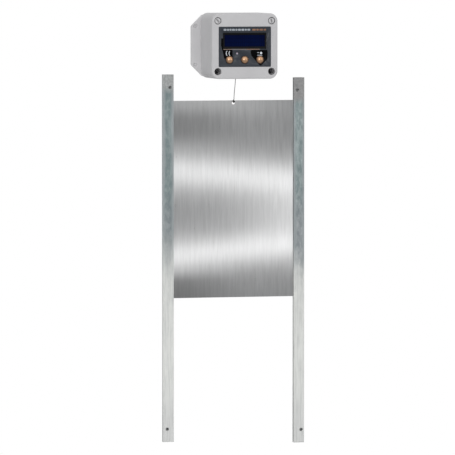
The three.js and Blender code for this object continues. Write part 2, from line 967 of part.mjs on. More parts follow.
// A ring in the base's outlet, with a flange inside the box, that the cord runs through.
function cordBushing() {
  const neckBottom = boxBottom + gap;
  const flangeBottom = boxBottom + boxWall + gap;
  const flangeTop = flangeBottom + 1.5;
  const [bore, mouth, neck, rim] = [3.4, 4, 4.9, 6.8]; // radii
  const [lowFlare, highFlare] = [1, 0.8]; // heights of the bore's flared ends
  const points = [
    [bore, neckBottom + lowFlare],
    [mouth, neckBottom],
    [neck, neckBottom],
    [neck, flangeBottom],
    [rim, flangeBottom],
    [rim, flangeTop],
    [mouth, flangeTop],
    [bore, flangeTop - highFlare],
    [bore, neckBottom + lowFlare],
  ].map(([radius, height]) => new THREE.Vector2(radius, height));
  const geometry = new THREE.LatheGeometry(points, 20);
  geometry.rotateX(Math.PI / 2);
  geometry.translate(0, -cordDepth, 0);
  return solid(geometry);
}

add("cord_bushing", cordBushing(), looks.blackPlastic);

export default root;
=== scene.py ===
import json
import math

import bmesh
import bpy
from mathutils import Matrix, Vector


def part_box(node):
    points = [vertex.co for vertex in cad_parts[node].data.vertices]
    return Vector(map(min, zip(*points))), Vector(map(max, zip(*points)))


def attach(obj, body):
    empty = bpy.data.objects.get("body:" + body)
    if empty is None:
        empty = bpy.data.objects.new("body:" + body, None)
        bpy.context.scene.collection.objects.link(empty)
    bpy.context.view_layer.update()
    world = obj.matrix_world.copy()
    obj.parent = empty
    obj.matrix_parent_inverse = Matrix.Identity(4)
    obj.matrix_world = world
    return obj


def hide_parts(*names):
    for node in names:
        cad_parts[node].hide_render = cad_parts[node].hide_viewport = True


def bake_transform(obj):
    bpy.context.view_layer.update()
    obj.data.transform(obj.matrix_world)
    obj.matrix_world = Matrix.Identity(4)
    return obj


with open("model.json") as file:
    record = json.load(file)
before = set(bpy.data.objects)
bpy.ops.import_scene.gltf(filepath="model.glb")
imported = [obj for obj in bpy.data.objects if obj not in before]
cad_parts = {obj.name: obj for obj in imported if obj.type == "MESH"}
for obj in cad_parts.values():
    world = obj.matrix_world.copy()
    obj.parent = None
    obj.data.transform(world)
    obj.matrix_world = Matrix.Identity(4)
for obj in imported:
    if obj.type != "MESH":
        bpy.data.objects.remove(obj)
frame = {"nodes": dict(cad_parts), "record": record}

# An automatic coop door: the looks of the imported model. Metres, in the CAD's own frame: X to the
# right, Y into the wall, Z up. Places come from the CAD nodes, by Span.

MM = 0.001
QUARTER = math.pi / 2
PAST = 1 * MM  # how far a cutter reaches past the face that it opens
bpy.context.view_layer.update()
scene = bpy.context.scene
scene.view_settings.view_transform = "Standard"


class Span:
    """A CAD node's lowest and highest corners, its middle, its size, and its place from the front."""

    def __init__(self, node):
        self.low, self.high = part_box(node)
        self.middle = (self.low + self.high) / 2
        self.size = self.high - self.low
        self.spot = (self.middle.x, self.middle.z)


# ---- Camera ----

def look_at(thing, target):
    thing.rotation_euler = (target - thing.location).to_track_quat("-Z", "Y").to_euler()


def make_camera():
    """It stands in front of the object, to its left and above its middle."""
    azimuth = math.radians(-14)
    distance = 8
    height = 0.82
    framed_height = 0.744  # of the upright plane through the object that fills the picture
    target = Vector((-9 * MM, 0, 355 * MM))
    camera = bpy.data.objects.new("camera", bpy.data.cameras.new("camera"))
    scene.collection.objects.link(camera)
    across, ahead = distance * math.sin(azimuth), distance * math.cos(azimuth)
    camera.location = (target.x + across, -ahead, height)
    look_at(camera, target)
    camera.data.lens = camera.data.sensor_width * (target - camera.location).length / framed_height
    camera.data.clip_end = 100
    scene.camera = camera


make_camera()


# ---- Making meshes ----

def shade(mesh, angle=35):
    """Smooth shading, except where faces meet at more than angle degrees."""
    mesh.shade_smooth()
    mesh.set_sharp_from_angle(angle=math.radians(angle))


def piece_from(name, mesh_maker, angle=35):
    """An object from a bmesh."""
    mesh = bpy.data.meshes.new(name)
    bmesh.ops.recalc_face_normals(mesh_maker, faces=mesh_maker.faces)
    mesh_maker.to_mesh(mesh)
    mesh_maker.free()
    shade(mesh, angle)
    piece = bpy.data.objects.new(name, mesh)
    scene.collection.objects.link(piece)
    return piece


def loft(rings, closed=False):
    """A bmesh skin over rings that have the same number of points, capped unless it's closed."""
    skin = bmesh.new()
    made = [[skin.verts.new(point) for point in ring] for ring in rings]
    count = len(rings[0])
    following = made[1:] + ([made[0]] if closed else [])
    for ring, next_ring in zip(made, following):
        for i in range(count):
            j = (i + 1) % count
            skin.faces.new((ring[i], ring[j], next_ring[j], next_ring[i]))
    if not closed:
        skin.faces.new(made[0])
        skin.faces.new(made[-1])
    return skin


def circle(count):
    """The angles of count points spaced evenly round a circle."""
    return [2 * math.pi * k / count for k in range(count)]


def arc(radius, start, end, steps):
    """Points along an arc about the origin, between two angles."""
    angles = [start + (end - start) * k / steps for k in range(steps + 1)]
    return [(radius * math.cos(angle), radius * math.sin(angle)) for angle in angles]


def twisted_cord(name, path, radius, turns, sides=12, closed=False):
    """A cord of three strands along path, twisted by that many turns in all."""
    strands = 3
    groove = 0.14  # how deep the grooves between the strands are, as a share of the radius
    points = [Vector(point) for point in path]
    rings = []
    side = None
    for i, point in enumerate(points):
        after = points[(i + 1) % len(points)] if closed or i + 1 < len(points) else point
        before = points[i - 1] if closed or i else point
        along = (after - before).normalized()
        start = side or along.orthogonal()
        side = (start - start.dot(along) * along).normalized()
        across = along.cross(side)
        ring = []
        for angle in circle(sides):
            phase = strands * angle - 2 * math.pi * turns * i / len(points)
            reach = radius * (1 + groove * (math.cos(phase) - 1))
            ring.append(point + reach * (math.cos(angle) * side + math.sin(angle) * across))
        rings.append(ring)
    return piece_from(name, loft(rings, closed), angle=60)


def round_rectangle(x, z, width, height, radius, steps=10):
    """The points of a rectangle with round corners, in X and Z."""
    corners = [(1, -1), (1, 1), (-1, 1), (-1, -1)]
    points = []
    for quarter, (side, level) in enumerate(corners):
        centre_x = x + side * (width / 2 - radius)
        centre_z = z + level * (height / 2 - radius)
        bend = arc(radius, QUARTER * (quarter - 1), QUARTER * quarter, steps)
        points += [(centre_x + across, centre_z + up) for across, up in bend]
    return points


def face_of(span, radius, grown=0.0, steps=10):
    """A function of inset: span's face, grown all round, as an outline with its sides moved in."""
    def outline(inset):
        width, height = (side + 2 * (grown - inset) for side in (span.size.x, span.size.z))
        return round_rectangle(*span.spot, width, height, radius, steps)

    return outline


def moved_in(outline, distance):
    """The same function of inset, with its sides moved in by distance to begin with."""
    return lambda inset: outline(distance + inset)


def plate(name, outline, back, front, edge=0.0, steps=6):
    """outline(inset) drawn in X and Z, from y = back to y = front, its front edge rounded by edge."""
    rings = [[(x, back, z) for x, z in outline(0)]]
    for k in range(steps + 1 if edge else 1):
        angle = QUARTER * k / steps
        inset = edge * (1 - math.cos(angle))
        y = front + edge * (1 - math.sin(angle))
        rings.append([(x, y, z) for x, z in outline(inset)])
    return piece_from(name, loft(rings))


def turned(name, profile, x, z, sides=48):
    """A profile of (radius, y) points, turned once round the line along Y through x and z."""
    skin = bmesh.new()
    rings = []
    for radius, y in profile:
        angles = circle(sides) if radius else [0]
        spots = [(x + radius * math.cos(angle), y, z + radius * math.sin(angle)) for angle in angles]
        rings.append([skin.verts.new(spot) for spot in spots])
    for ring, next_ring in zip(rings, rings[1:]):
        for i in range(sides):
            j = (i + 1) % sides
            corners = [ring[i % len(ring)], ring[j % len(ring)]]
            corners += [next_ring[j % len(next_ring)], next_ring[i % len(next_ring)]]
            distinct = list(dict.fromkeys(corners))
            if len(distinct) > 2:
                skin.faces.new(distinct)
    return piece_from(name, skin)


def rod(x, z, radius, start, end):
    """A plain round bar along Y."""
    return turned("rod", [(0, start), (radius, start), (radius, end), (0, end)], x, z)


def drill(x, z, radius, floor, mouth, flare=0.4 * MM, sides=48):
    """A cutter for a round hole with a flared mouth, from y = floor forward past y = mouth."""
    beyond = 3 * MM
    profile = [
        (0, floor),
        (radius, floor),
        (radius, mouth + flare),
        (radius + flare + beyond, mouth - beyond),
        (0, mouth - beyond),
    ]
    return turned("drill", profile, x, z, sides=sides)


def box_from(name, low, high):
    """A closed box between two corners, for cutting with."""
    rings = []
    for z in (low[2], high[2]):
        near = [(low[0], low[1], z), (high[0], low[1], z)]
        rings.append(near + [(high[0], high[1], z), (low[0], high[1], z)])
    return piece_from(name, loft(rings))


def settle(piece):
    """Applies the piece's modifiers."""
    graph = bpy.context.evaluated_depsgraph_get()
    mesh = bpy.data.meshes.new_from_object(piece.evaluated_get(graph))
    piece.modifiers.clear()
    old = piece.data
    piece.data = mesh
    bpy.data.meshes.remove(old)


def combine(piece, operation, others):
    """Applies a boolean with each of the others to the piece, and removes them."""
    for other in others:
        modifier = piece.modifiers.new("combine", "BOOLEAN")
        modifier.operation = operation
        modifier.object = other
        modifier.solver = "EXACT"
    bpy.context.view_layer.update()
    settle(piece)
    for other in others:
        bpy.data.objects.remove(other)


def carve(piece, *cutters):
    """Cuts the cutters out of the piece."""
    combine(piece, "DIFFERENCE", cutters)


def unite(piece, *others):
    """Joins the others into the piece as one solid."""
    combine(piece, "UNION", others)


def round_edges(piece, width):
    """Adds a modifier that rounds the piece's sharp edges by width."""
    bevel = piece.modifiers.new("edges", "BEVEL")
    bevel.width = width
    bevel.segments = 2
    bevel.limit_method = "ANGLE"
    bevel.angle_limit = math.radians(40)
    return bevel


def soften(piece, width):
    """Rounds the piece's sharp edges for good, and keeps the shading of its flat faces flat."""
    piece.data.shade_smooth()
    bevel = round_edges(piece, width)
    bevel.use_clamp_overlap = True
    bevel.miter_outer = "MITER_ARC"
    bevel.harden_normals = True
    bpy.context.view_layer.update()
    settle(piece)


def finish_piece(piece, look, *replaced, body="frame", slot=None):
    """Gives a finished mesh its look, its body and the CAD nodes that it stands for."""
    piece.data.materials.clear()
    piece.data.materials.append(LOOKS[look])
    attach(piece, body)
    if replaced:
        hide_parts(*replaced)
    return piece


# ---- Making materials ----

class Look:
    """A material with one Principled shader. Constant settings go on the shader's own sockets."""

    def __init__(self, name, **settings):
        self.material = bpy.data.materials.new(name)
        self.material.use_nodes = True
        self.tree = self.material.node_tree
        self.shader = self.tree.nodes["Principled BSDF"]
        for socket, value in settings.items():
            self.shader.inputs[socket.replace("_", " ")].default_value = value

    def link(self, output, target):
        self.tree.links.new(output, target)

    def node(self, kind, inputs=(), **properties):
        """A node. Each input is given a number, a colour, a vector or another node's socket."""
        made = self.tree.nodes.new("ShaderNode" + kind)
        for name, value in properties.items():
            setattr(made, name, value)
        for name, value in dict(inputs).items():
            self.set(made.inputs[name], value)
        return made

    def set(self, socket, value):
        if isinstance(value, (int, float)):
            socket.default_value = value
        elif isinstance(value, tuple):
            socket.default_value = (*value, 1)[:len(socket.default_value)]
        else:
            self.link(value, socket)

    def place(self, scale, turn=(0, 0, 0)):
        """The piece's own coordinates, in metres, times scale: one number, or one for each axis."""
        own = self.node("TexCoord").outputs["Object"]
        scales = scale if isinstance(scale, tuple) else (scale,) * 3
        return self.node("Mapping", {"Vector": own, "Scale": scales, "Rotation": turn}).outputs["Vector"]

    def noise(self, scale, detail=3, roughness=0.5, distortion=0, turn=(0, 0, 0)):
        """Noise from 0 to 1, with scale features a metre."""
        settings = {
            "Vector": self.place(scale, turn),
            "Scale": 1,
            "Detail": detail,
            "Roughness": roughness,
            "Distortion": distortion,
        }
        return self.node("TexNoise", settings).outputs["Fac"]

    def axis(self, letter):
        """The piece's own X, Y or Z coordinate, in metres."""
        own = self.node("TexCoord").outputs["Object"]
        return self.node("SeparateXYZ", {0: own}).outputs[letter]

    def height(self, low, high, below=0, above=1):
        """A number that goes smoothly from below, under the height low, to above, over high."""
        return self.spread(self.axis("Z"), low, high, below, above)

    def spread(self, value, low, high, to_low, to_high):
        """value moved from the range low..high to to_low..to_high, smoothly."""
        ends = {"Value": value, "From Min": low, "From Max": high, "To Min": to_low, "To Max": to_high}
        return self.node("MapRange", ends, interpolation_type="SMOOTHSTEP").outputs["Result"]

    def maths(self, operation, first, second=0):
        return self.node("Math", {0: first, 1: second}, operation=operation).outputs[0]

    def times(self, first, second):
        return self.maths("MULTIPLY", first, second)

    def add(self, first, second):
        return self.maths("ADD", first, second)

    def blend(self, factor, first, second):
        """Colours first and second mixed by factor. Each is a colour or a socket."""
        made = self.node("Mix", data_type="RGBA")
        for name, value in (("Factor_Float", factor), ("A_Color", first), ("B_Color", second)):
            self.set(next(s for s in made.inputs if s.identifier == name), value)
        return next(s for s in made.outputs if s.identifier == "Result_Color")

    def vary(self, noise, low, high, first, second, most=1):
        """Colour first where noise is under low, turning into second, by most, where it's over high."""
        return self.blend(self.spread(noise, low, high, 0, most), first, second)

    def worn_edges(self, radius=0.6 * MM):
        """1 on edges that stick out, 0 elsewhere."""
        bevelled = self.node("Bevel", {"Radius": radius}, samples=4).outputs["Normal"]
        flat = self.node("NewGeometry").outputs["Normal"]
        product = self.node("VectorMath", {0: bevelled, 1: flat}, operation="DOT_PRODUCT")
        return self.spread(product.outputs["Value"], 0.99, 0.9, 0, 1)

    def across(self, left, right):
        """A number that goes from left at the left rail to right at the right rail."""
        rail_edge = 0.1
        return self.spread(self.axis("X"), -rail_edge, rail_edge, left, right)

    def colour(self, value):
        self.link(value, self.shader.inputs["Base Color"])

    def roughness(self, noise, low, high, to_low, to_high):
        """Roughness from to_low, where noise is under low, to to_high, where it's over high."""
        self.link(self.spread(noise, low, high, to_low, to_high), self.shader.inputs["Roughness"])

    def bump(self, height, distance):
        """Raises the surface by up to distance where height is 1."""
        normal = self.shader.inputs["Normal"]
        settings = {"Distance": distance, "Strength": 1, "Height": height}
        if normal.links:
            settings["Normal"] = normal.links[0].from_socket
        self.link(self.node("Bump", settings).outputs["Normal"], normal)


# ---- Materials ----

def tarnished(look, cloud, wander):
    """Blue-grey mottling along a rail's middle, bluer higher up and deeper on the left rail."""
    off_centre = look.maths("ABSOLUTE", look.axis("X"))
    off_rail = look.maths("ABSOLUTE", look.maths("SUBTRACT", off_centre, Span("rail_right").middle.x))
    rim = look.spread(look.add(off_rail, look.times(wander, 3 * MM)), 3.5 * MM, 8 * MM, 0, 1)
    bluer = look.height(0.36, 0.43)
    dark = look.blend(bluer, (0.31, 0.345, 0.365), (0.285, 0.36, 0.365))
    pale = look.blend(bluer, (0.53, 0.56, 0.57), (0.5, 0.575, 0.57))
    mottled = look.vary(cloud, 0.34, 0.68, dark, pale)
    deepened = look.blend(look.across(0.35, 0), mottled, (0.17, 0.215, 0.22))
    return look.blend(rim, deepened, (0.44, 0.48, 0.49))


def bare_end(look, tarnish, wander):
    """Bare gritty metal at the rails' upper ends. It reaches further down on the right rail."""
    grit = look.noise(330, detail=3, roughness=0.7)
    metal = look.blend(look.across(0, 1), (0.56, 0.575, 0.565), (0.44, 0.435, 0.43))
    gritty = look.blend(look.spread(grit, 0.35, 0.65, 0.35, 0), metal, (0.2, 0.2, 0.2))
    raised = look.add(look.across(0, 0.018), look.times(wander, 6 * MM))
    above = look.spread(look.add(look.axis("Z"), raised), 0.574, 0.586, 0, 1)
    return look.blend(above, tarnish, gritty)


def rail_aluminium():
    """Mill-finish aluminium: clean below, tarnished above, and bare at its upper end."""
    look = Look("rail_aluminium", Metallic=1.0, Anisotropic=0.4)
    cloud = look.noise((210, 210, 95), detail=5, roughness=0.65, distortion=0.5)
    patch = look.noise((40, 40, 16), detail=3, distortion=0.4)
    drawn = look.noise((420, 420, 22), detail=3, roughness=0.6)
    grain = look.noise((2400, 2400, 14), detail=3)
    speckle = look.noise(900, detail=2)
    wander = look.spread(patch, 0.2, 0.8, -0.5, 0.5)
    raised = look.spread(look.add(look.axis("Z"), look.across(0.004, 0.03)), 0.25, 0.38, 0, 1)
    dulled = look.spread(look.add(raised, look.times(wander, 0.5)), 0.1, 0.9, 0, 1)
    clean = look.vary(cloud, 0.25, 0.8, (0.84, 0.85, 0.82), (0.90, 0.905, 0.875))
    low = look.blend(look.height(0.02, 0.12), (0.76, 0.765, 0.75), clean)
    base = look.blend(dulled, low, bare_end(look, tarnished(look, cloud, wander), wander))
    drawn_on = look.vary(drawn, 0.42, 0.68, base, (0.24, 0.26, 0.27), most=0.2)
    streaked = look.vary(grain, 0.3, 0.7, drawn_on, (0.3, 0.31, 0.32), most=0.14)
    look.colour(look.vary(speckle, 0.62, 0.8, streaked, (0.45, 0.46, 0.46), most=0.22))
    look.roughness(cloud, 0.2, 0.8, 0.36, 0.52)
    look.bump(grain, 0.02 * MM)
    look.bump(speckle, 0.02 * MM)
    return look.material


def door_aluminium():
    """Aluminium sheet with an upright brushed grain, and painted reflection: dark bands near its left
    edge above and below.
    """
    look = Look("door_aluminium", Metallic=1.0, Anisotropic=0.75)
    tangent = look.node("Tangent", direction_type="UV_MAP", uv_map="sheet")
    look.link(tangent.outputs["Tangent"], look.shader.inputs["Tangent"])
    fine = look.noise((1300, 1, 32), detail=3, roughness=0.65)
    broad = look.noise((210, 1, 16), detail=4, roughness=0.6)
    scratch = look.noise((5200, 1, 60), detail=1)
    lines = look.add(look.times(fine, 0.45), look.times(broad, 0.55))
    metal = look.vary(lines, 0.3, 0.72, (0.575, 0.575, 0.575), (0.715, 0.715, 0.715))
    scratched = look.vary(scratch, 0.7, 0.8, metal, (0.9, 0.9, 0.9), most=0.3)
    # Painted reflection: near-black bands in the metal's colour, one at the sheet's foot and one higher
    # up, fading out towards the right.
    foot = look.height(0.265, 0.288, below=0.4, above=0)
    under_edge = look.height(0.53, 0.555, below=1, above=0)
    shoulder = look.times(look.height(0.485, 0.515, above=0.26), under_edge)
    leftward = look.spread(look.axis("X"), -0.113, 0.05, 1, 0)
    painted_dark_bands = look.times(look.add(foot, shoulder), leftward)
    # Painted reflection: the dark bands are mixed into the sheet's colour here.
    look.colour(look.blend(painted_dark_bands, scratched, (0.02, 0.02, 0.02)))
    look.roughness(lines, 0.25, 0.75, 0.27, 0.305)
    look.bump(fine, 0.008 * MM)
    return look.material


def brighter(colour, gain, lift):
    """A colour as it looks where it's rubbed or scratched."""
    return tuple(min(1.0, gain * part + lift) for part in colour)


def moulded_plastic(name, colour, darker, roughness=0.42, texture=1.0, gloss=0.45):
    """Moulded plastic with a fine spark-eroded texture, faint flow marks and rubbed edges."""
    look = Look(name, Roughness=roughness, Specular_IOR_Level=gloss)
    flow = look.noise((18, 18, 30), detail=4, roughness=0.55, distortion=0.8)
    pits = look.noise(2600, detail=2)
    base = look.vary(flow, 0.25, 0.75, colour, darker)
    rubbed = brighter(colour, 1.15, 0.004)
    look.colour(look.blend(look.times(look.worn_edges(), 0.45), base, rubbed))
    look.roughness(pits, 0.3, 0.7, roughness - 0.05, roughness + 0.07)
    look.bump(pits, 0.03 * MM * texture)
    look.bump(flow, 0.05 * MM)
    return look.material


def printed_film(name, colour, darker, roughness=0.36, gloss=0.4):
    """A printed polyester film: a fine satin emboss, dust and a few hairline scratches."""
    look = Look(name, Roughness=roughness, Specular_IOR_Level=gloss)
    emboss = look.noise(3200, detail=1)
    smudge = look.noise((45, 45, 60), detail=3, distortion=1.2)
    scratch = look.noise((60, 60, 3000), detail=1, turn=(0, 0.6, 0))
    base = look.vary(smudge, 0.3, 0.75, colour, darker)
    look.colour(look.vary(scratch, 0.74, 0.8, base, brighter(colour, 1.4, 0.012), most=0.35))
    look.roughness(smudge, 0.3, 0.7, roughness - 0.06, roughness + 0.1)
    look.bump(emboss, 0.02 * MM)
    return look.material


def plain_metal(name, colour, darker, roughness=0.32, grain=800):
    """Machined or pressed metal: directional grain, stains and bright rubbed edges."""
    look = Look(name, Metallic=1.0)
    tool = look.noise(grain, detail=3)
    stain = look.noise(160, detail=4, distortion=0.7)
    base = look.vary(stain, 0.35, 0.7, colour, darker)
    rubbed = brighter(colour, 1.25, 0.05)
    look.colour(look.blend(look.times(look.worn_edges(0.4 * MM), 0.6), base, rubbed))
    look.roughness(tool, 0.3, 0.7, roughness - 0.06, roughness + 0.1)
    look.bump(tool, 0.02 * MM)
    return look.material


def copper_button():
    """A polished copper-coloured cap with mottled tarnish, and painted shade that darkens it towards its
    foot.
    """
    look = Look("button_copper", Metallic=0.85, Coat_Weight=0.35, Coat_Roughness=0.12)
    tarnish = look.noise(420, detail=4, distortion=0.6)
    polish = look.noise((1800, 400, 1800), detail=2)
    cap = Span("button_middle")
    # Painted shade: the cap turns near black towards the dome's foot, where it meets the lid.
    foot = look.spread(look.axis("Y"), cap.low.y + 0.9 * MM, cap.low.y + 3.5 * MM, 0, 1)
    metal = look.vary(tarnish, 0.3, 0.75, (0.73, 0.455, 0.275), (0.58, 0.33, 0.18))
    look.colour(look.blend(foot, metal, (0.14, 0.06, 0.025)))
    look.roughness(polish, 0.3, 0.7, 0.24, 0.36)
    look.bump(polish, 0.01 * MM)
    return look.material


def display_window():
    """The dark blue glass of a two-line display, with its faint rows of empty cells and painted shade
    along its sides and top.
    """
    look = Look("display_window", Roughness=0.12, Specular_IOR_Level=0.06)
    settings = {
        "Vector": look.place(1 / MM, turn=(-QUARTER, 0, 0)),
        "Color1": (0.0006, 0.0042, 0.036),
        "Color2": (0.0005, 0.0036, 0.030),
        "Mortar": (0.0003, 0.0018, 0.016),
        "Scale": 1,
        "Brick Width": 3.5,
        "Row Height": 6.4,
        "Mortar Size": 0.3,
    }
    cells = look.node("TexBrick", settings, offset=0.0)
    glow = look.noise((22, 22, 40), detail=2)
    dim = look.spread(glow, 0.35, 0.7, 0, 0.7)
    screen = look.blend(dim, cells.outputs["Color"], (0.0006, 0.0012, 0.018))
    # Painted shade: the glass darkens along its sides and under its top edge, as if shaded by the
    # bezel's lip.
    window = Span("display_glass")
    half = look.maths("ABSOLUTE", look.axis("X"))
    painted_side_shade = look.spread(half, window.high.x - 2.2 * MM, window.high.x - 0.6 * MM, 0, 0.8)
    above = look.height(window.high.z - 3 * MM, window.high.z - 1 * MM)
    look.colour(look.blend(look.maths("MAXIMUM", painted_side_shade, above), screen, (0.0006, 0.0007, 0.004)))
    dust = look.noise(900, detail=2)
    look.roughness(dust, 0.55, 0.8, 0.08, 0.3)
    look.bump(glow, 0.02 * MM)
    return look.material


def cord_fibre(name, colour, darker):
    """Braided polyester: bright and dark fibres along the twist."""
    look = Look(name, Roughness=0.8, Sheen_Weight=0.3)
    look.shader.inputs["Sheen Roughness"].default_value = 0.5
    fibre = look.noise((5200, 5200, 1500), detail=3)
    soil = look.noise((200, 200, 120), detail=3)
    base = look.vary(fibre, 0.3, 0.7, colour, darker)
    look.colour(look.vary(soil, 0.5, 0.8, base, darker, most=0.4))
    look.roughness(fibre, 0.2, 0.8, 0.7, 0.95)
    look.bump(fibre, 0.08 * MM)
    return look.material


def circuit_board():
    """Green solder mask over copper tracks, with small tinned pads."""
    look = Look("circuit_board", Roughness=0.4, Coat_Weight=0.3)
    lines = {"Vector": look.place(260), "Scale": 1}
    tracks = look.node("TexVoronoi", lines, feature="DISTANCE_TO_EDGE", distance="CHEBYCHEV")
    pads = look.node("TexVoronoi", {"Vector": look.place(390), "Scale": 1}, feature="F1")
    track = look.spread(tracks.outputs["Distance"], 0.05, 0.12, 1, 0)
    pad = look.spread(pads.outputs["Distance"], 0.12, 0.16, 1, 0)
    mask = look.blend(track, (0.012, 0.10, 0.04), (0.03, 0.19, 0.07))
    look.colour(look.blend(pad, mask, (0.62, 0.62, 0.58)))
    look.roughness(pad, 0, 1, 0.42, 0.25)
    look.bump(track, 0.04 * MM)
    return look.material


def cell_wrap():
    """A printed cell sleeve with plain bands, and bare metal at both ends."""
    look = Look("cell_wrap")
    along = look.maths("ABSOLUTE", look.axis("X"))
    half = Span("battery_1").size.x / 2
    bare = look.spread(along, half - 1.8 * MM, half - 1.4 * MM, 0, 1)
    band = look.spread(along, 9 * MM, 9.4 * MM, 0, 1)
    scuff = look.noise((300, 900, 900), detail=4)
    sleeve = look.blend(band, (0.02, 0.11, 0.08), (0.03, 0.03, 0.035))
    rubbed = look.vary(scuff, 0.55, 0.8, sleeve, (0.25, 0.27, 0.26), most=0.5)
    look.colour(look.blend(bare, rubbed, (0.62, 0.62, 0.62)))
    look.link(bare, look.shader.inputs["Metallic"])
    look.roughness(scuff, 0.3, 0.8, 0.28, 0.5)
    look.bump(scuff, 0.02 * MM)
    return look.material


def sensor_lens():
    """The pale, slightly pink cap of a light sensor."""
    look = Look("sensor_lens", Roughness=0.25, Coat_Weight=0.5, Subsurface_Weight=0.2)
    look.shader.inputs["Subsurface Scale"].default_value = 0.5 * MM
    cloud = look.noise(700, detail=3)
    look.colour(look.vary(cloud, 0.3, 0.7, (0.52, 0.48, 0.54), (0.36, 0.32, 0.38)))
    look.roughness(cloud, 0.3, 0.7, 0.18, 0.34)
    look.bump(cloud, 0.02 * MM)
    return look.material


LOOKS = {
    "rail_aluminium": rail_aluminium(),
    "door_aluminium": door_aluminium(),
    "dark_steel": plain_metal("dark_steel", (0.10, 0.10, 0.105), (0.045, 0.045, 0.05), 0.4),
    "screw_steel": plain_metal("screw_steel", (0.26, 0.265, 0.265), (0.15, 0.155, 0.155), 0.45),
    "grey_plastic": moulded_plastic("grey_plastic", (0.555, 0.55, 0.56), (0.52, 0.515, 0.525)),
    "label": printed_film("label_film", (0.036, 0.042, 0.053), (0.029, 0.034, 0.043), gloss=0.33),
    "black_metal": moulded_plastic(
        "black_metal", (0.0045, 0.0045, 0.0055), (0.003, 0.003, 0.004), 0.42, 0.6, gloss=0.14
    ),
    "copper": copper_button(),
    "display_window": display_window(),
    "sensor_lens": sensor_lens(),
    "circuit_board": circuit_board(),
    "black_plastic": moulded_plastic("black_plastic", (0.02, 0.02, 0.022), (0.012, 0.012, 0.013), 0.48),
    "cell_wrap": cell_wrap(),
    "steel": plain_metal("steel", (0.60, 0.60, 0.61), (0.42, 0.42, 0.43), 0.3, grain=(300, 2500, 2500)),
    "white_plastic": moulded_plastic("white_plastic", (0.78, 0.76, 0.71), (0.70, 0.68, 0.63), 0.4),
    "rubber": moulded_plastic("rubber", (0.024, 0.024, 0.025), (0.014, 0.014, 0.015), 0.75, 2.0),
    "cord": cord_fibre("cord_fibre", (0.20, 0.198, 0.19), (0.10, 0.098, 0.094)),
    "dark_cord": cord_fibre("dark_cord_fibre", (0.035, 0.030, 0.028), (0.010, 0.009, 0.009)),
    "white_ink": printed_film("print_white", (0.40, 0.43, 0.47), (0.30, 0.33, 0.37), 0.4),
    "bright_ink": printed_film("print_bright", (0.78, 0.82, 0.86), (0.66, 0.70, 0.74), 0.4),
    "orange_ink": printed_film("print_orange", (0.32, 0.17, 0.10), (0.22, 0.11, 0.065), 0.4),
    # Painted highlight: grey with orange-brown glints, for light caught by the bezel's lower edge.
    "bezel_highlight_ink": printed_film("painted_bezel_highlight", (0.20, 0.19, 0.19), (0.27, 0.15, 0.09), 0.4),
    "black_ink": printed_film(
        "print_black", (0.0018, 0.0018, 0.0025), (0.001, 0.001, 0.0015), 0.42, gloss=0.05
    ),
}


# ---- The cord and its knot ----

lid = Span("lid")
base = Span("housing_base")
door = Span("door_panel")
spool = Span("spool")
CORD_RADIUS = 0.6 * MM
BOX_WALL = 3.2 * MM
KNOT = Vector((0, door.middle.y - 3.9 * MM, door.high.z - 1.8 * MM))
KNOT_RADIUS = 2 * MM
HOLE = Vector((0, door.middle.y, door.high.z - 4.2 * MM))
HOLE_RADIUS = 2.6 * MM


def cord_route(steps):
    """Straight down from the spool to the box's floor, then forward to the knot in a gentle curve."""
    outlet = lid.low.z + BOX_WALL
    end = KNOT.z + KNOT_RADIUS + 0.3 * MM
    points = []
    for i in range(steps + 1):
        z = spool.middle.z + (end - spool.middle.z) * i / steps
        lean = min(max((outlet - z) / (outlet - end), 0), 1)
        lean = lean * lean * (3 - 2 * lean)
        points.append(Vector((0, spool.middle.y + lean * (KNOT.y - spool.middle.y), z)))
    return points


def make_knot():
    """An overhand knot, and its loop through the door's hole and over the door's edge."""
    points = 72
    size = (KNOT_RADIUS - CORD_RADIUS) / 3
    twist = []
    for t in circle(points):
        across = size * (math.sin(t) + 2 * math.sin(2 * t))
        up = size * (math.cos(t) - 2 * math.cos(2 * t))
        twist.append(KNOT + Vector((across, size * 1.4 * math.sin(3 * t), up)))
    knot = twisted_cord("knot_overhand", twist, 1.15 * CORD_RADIUS, turns=9, closed=True)
    clear = 1.4 * CORD_RADIUS
    top = door.high.z + clear
    bottom = HOLE.z + 0.2 * HOLE_RADIUS
    reach = door.size.y / 2 + clear
    loop = []
    for t in circle(points):
        y = door.middle.y + reach * math.sin(t)
        loop.append(Vector((0, y, (top + bottom) / 2 + (top - bottom) / 2 * math.cos(t))))
    loop_piece = twisted_cord("knot_loop", loop, CORD_RADIUS, turns=12, closed=True)
    finish_piece(loop_piece, "dark_cord", body="door")
    return finish_piece(knot, "dark_cord", "cord_knot", body="door")


def make_cord(knot):
    """The lift cord, stretched between the box and the door."""
    cord = twisted_cord("lift_cord_twisted", cord_route(220), CORD_RADIUS, turns=24, sides=18)
    cord.data.materials.append(LOOKS["cord"])
    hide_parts("lift_cord")
    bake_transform(cord)


make_cord(make_knot())


# ---- Floor and light ----

def make_floor():
    """A pale floor well below the object, which hangs on a wall. Metal doesn't mirror it."""
    reach, level = 7, -0.8
    skin = bmesh.new()
    rim = [(reach * math.cos(angle), reach * math.sin(angle), level) for angle in circle(96)]
    skin.faces.new([skin.verts.new(point) for point in rim])
    floor = piece_from("floor", skin)
    look = Look("pale_floor", Roughness=0.9)
    speckle = look.noise(9, detail=4)
    look.colour(look.vary(speckle, 0.3, 0.7, (0.90, 0.90, 0.90), (0.86, 0.86, 0.86)))
    floor.data.materials.append(look.material)
    floor.visible_glossy = False


